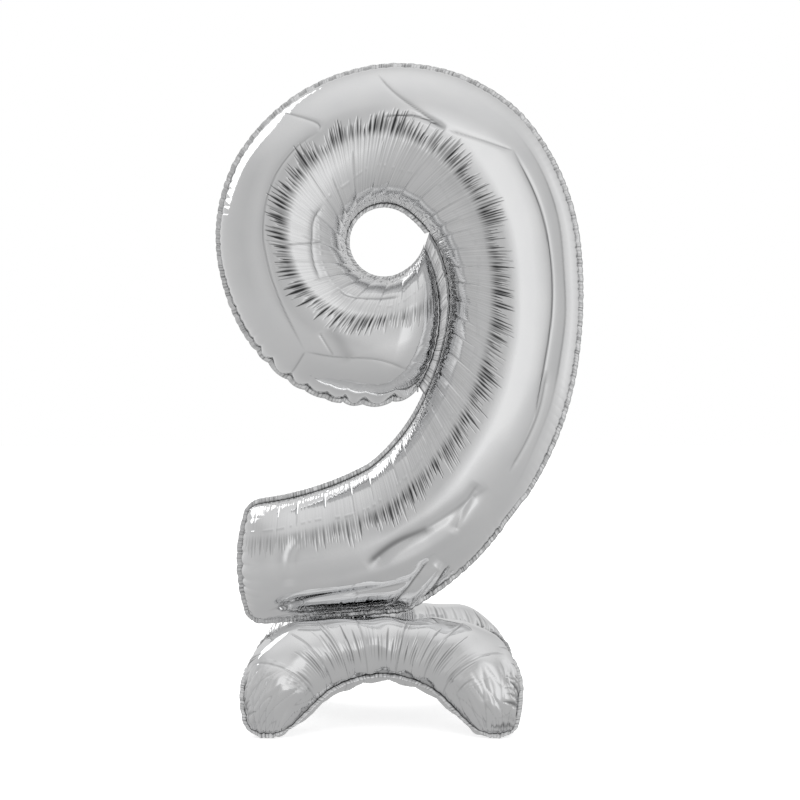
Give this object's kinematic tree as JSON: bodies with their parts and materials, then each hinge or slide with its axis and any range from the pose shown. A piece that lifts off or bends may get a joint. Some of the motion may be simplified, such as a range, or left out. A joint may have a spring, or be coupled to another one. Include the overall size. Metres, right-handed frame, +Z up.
{
  "type": "free-standing foil number balloon",
  "caption": "Free-standing air-filled silver foil number nine, one curling inflated stroke on an A-frame base of arched inflated feet.",
  "frame": {"origin": "on the floor, below the centre of the whole object's width and depth", "axes": "+Z up; the number reads from the front, which faces -Y; +X is the reader's right"},
  "size_m": [0.4158, 0.2367, 0.7373],
  "materials": {
    "silver_foil": "metallised film, mirror gloss with fine pleats",
    "foil_weld": "heat-sealed flange, crimped satin",
    "valve_film": "clear thin polyethylene film",
    "tab_film": "flat metallised film"
  },
  "bodies": {
    "number": {"number_front_film": "silver_foil", "number_rear_film": "silver_foil", "number_edge_weld": "foil_weld", "bowl_end_weld": "foil_weld", "hole_edge_weld": "foil_weld", "number_valve_front_film": "valve_film", "number_valve_rear_film": "valve_film", "join_web_left": "foil_weld", "join_web_right": "foil_weld"},
    "number_tab": {"number_fill_tab": "tab_film"},
    "rear_foot": {"rear_foot_outer_film": "silver_foil", "rear_foot_inner_film": "silver_foil", "rear_foot_edge_weld": "foil_weld", "crest_weld": "foil_weld", "base_valve_outer_film": "valve_film", "base_valve_inner_film": "valve_film"},
    "front_foot": {"front_foot_outer_film": "silver_foil", "front_foot_inner_film": "silver_foil", "front_foot_edge_weld": "foil_weld"},
    "base_tab": {"base_fill_tab": "tab_film"}
  },
  "joints": [
    {"name": "base_rock", "type": "hinge", "parent": "number", "child": "rear_foot", "pos_m": [-0.02, 0, 0.1057], "axis": [1, 0, 0], "range_deg": [-6, 6], "stiffness_Nm_per_rad": 1},
    {"name": "front_foot_spread", "type": "hinge", "parent": "rear_foot", "child": "front_foot", "pos_m": [-0.02, 0, 0.1025], "axis": [-1, 0, 0], "range_deg": [0, 8], "stiffness_Nm_per_rad": 1.5},
    {"name": "number_tab_flap", "type": "hinge", "parent": "number", "child": "number_tab", "pos_m": [0.12751, 0.0014, 0.22782], "axis": [-0.6059, 0, -0.7955], "range_deg": [-8, 80], "stiffness_Nm_per_rad": 0.002},
    {"name": "base_tab_flap", "type": "hinge", "parent": "rear_foot", "child": "base_tab", "pos_m": [0.1286, 0.0913, 0.02944], "axis": [0, 0.5546, -0.8321], "range_deg": [-8, 80], "stiffness_Nm_per_rad": 0.002}
  ]
}
